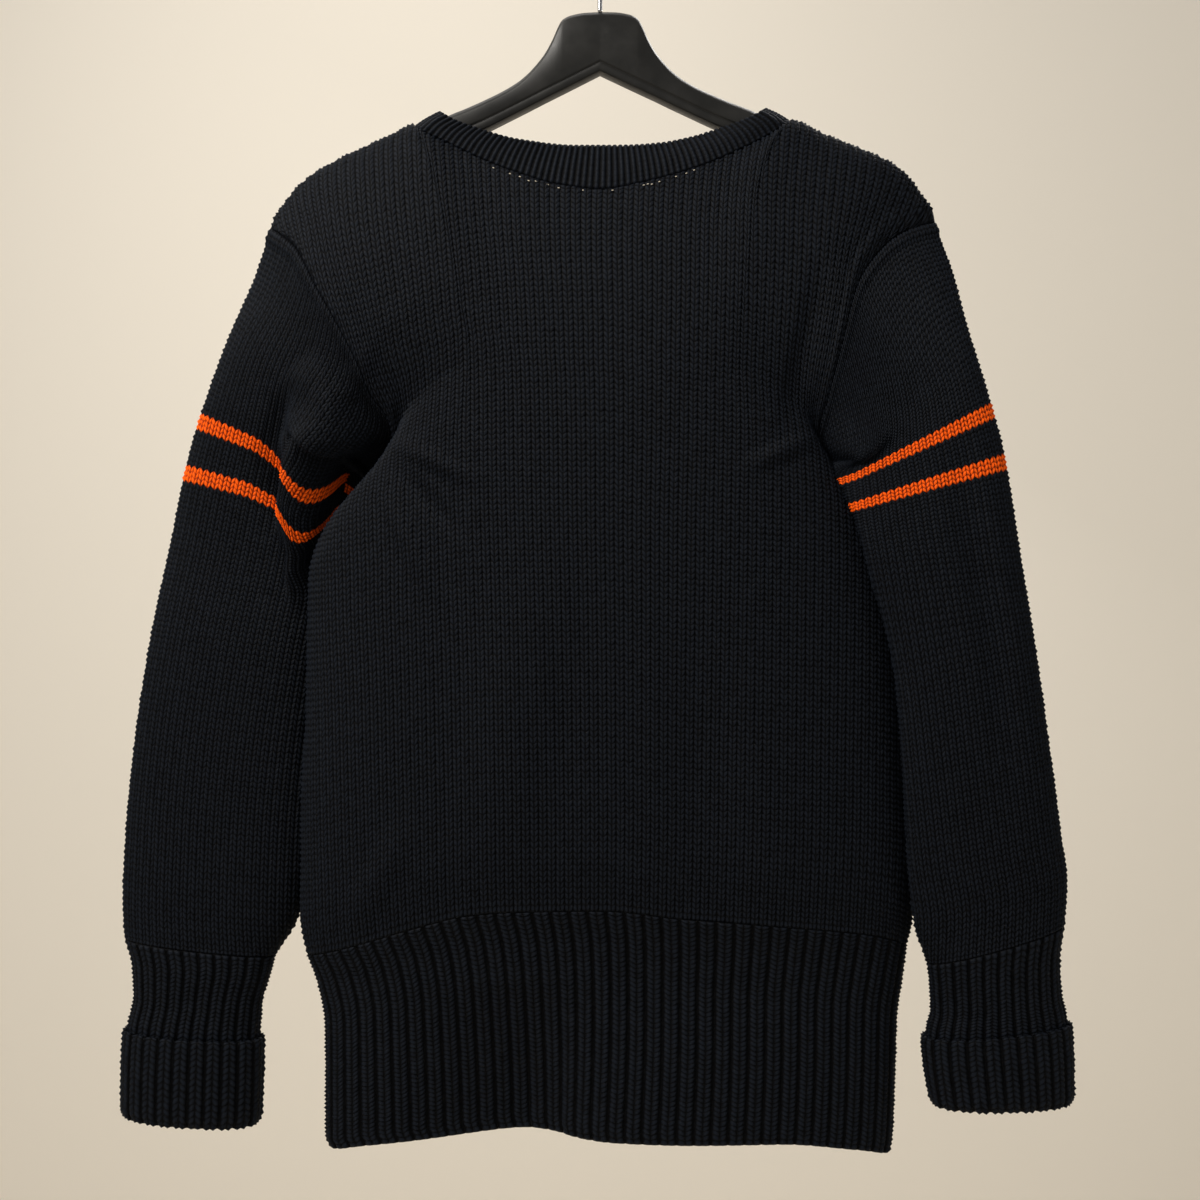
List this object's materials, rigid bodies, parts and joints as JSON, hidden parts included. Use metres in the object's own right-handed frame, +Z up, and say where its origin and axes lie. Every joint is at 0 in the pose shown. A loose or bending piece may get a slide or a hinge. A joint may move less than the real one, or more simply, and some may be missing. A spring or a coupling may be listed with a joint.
{
  "type": "varsity sweater on a hanger",
  "caption": "Heavy worsted varsity sweater with striped sleeves, ribbed hem welt and turned-back cuffs, hung by its shoulders on a flat hanger with a wire hook.",
  "frame": {"origin": "inside top of the hanger's hook, where it rests on the rod", "axes": "+Z up, +X to the right as the back of the sweater is seen, -Y towards the viewer of the back"},
  "size_m": [0.6568, 0.0946, 0.8541],
  "materials": {
    "wool": "matt knitted worsted",
    "hanger_plastic": "satin moulded",
    "hook_steel": "plated wire"
  },
  "bodies": {
    "root": {"back_panel": "wool", "front_panel": "wool", "back_welt": "wool", "front_welt": "wool", "left_sleeve": "wool", "right_sleeve": "wool", "left_cuff": "wool", "right_cuff": "wool", "neckband": "wool", "hanger_body": "hanger_plastic", "hanger_hook": "hook_steel"}
  },
  "joints": []
}
